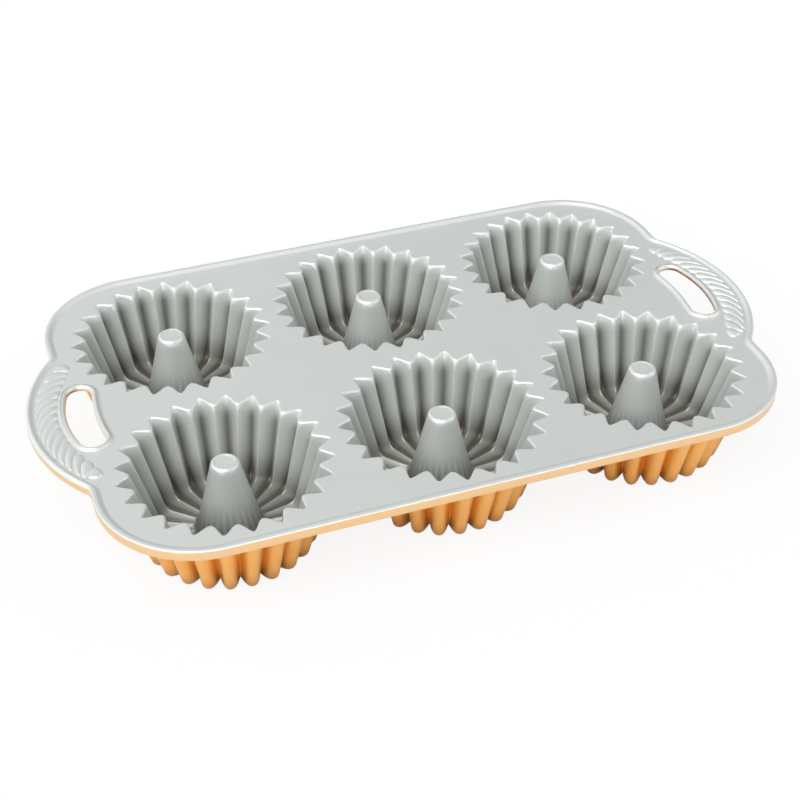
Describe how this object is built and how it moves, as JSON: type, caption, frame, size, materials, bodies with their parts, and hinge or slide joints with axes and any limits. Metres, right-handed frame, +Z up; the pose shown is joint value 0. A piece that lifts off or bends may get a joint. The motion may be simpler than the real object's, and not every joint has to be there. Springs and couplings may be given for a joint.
{
  "type": "mini bundt pan",
  "caption": "Cast mini bundt pan with fluted cups round centre tubes, a flat deck with a raised rim, and looped end handles with a rope relief.",
  "frame": {"origin": "under the middle of the pan, on the surface it stands on", "axes": "+X along the pan through both handles, +Y from the front row of cups to the back row, +Z up"},
  "size_m": [0.4056, 0.2428, 0.0489],
  "materials": {
    "silver_grey_coating": "satin silver grey release coating on cast aluminium",
    "gold_outside_coating": "satin metallic gold coating on cast aluminium"
  },
  "bodies": {
    "root": {"deck_plate": "silver_grey_coating", "handle_left": "silver_grey_coating", "handle_right": "silver_grey_coating", "cup_front_left": "gold_outside_coating", "cup_front_middle": "gold_outside_coating", "cup_front_right": "gold_outside_coating", "cup_back_left": "gold_outside_coating", "cup_back_middle": "gold_outside_coating", "cup_back_right": "gold_outside_coating", "centre_tube_front_left": "silver_grey_coating", "centre_tube_front_middle": "silver_grey_coating", "centre_tube_front_right": "silver_grey_coating", "centre_tube_back_left": "silver_grey_coating", "centre_tube_back_middle": "silver_grey_coating", "centre_tube_back_right": "silver_grey_coating"}
  },
  "joints": []
}
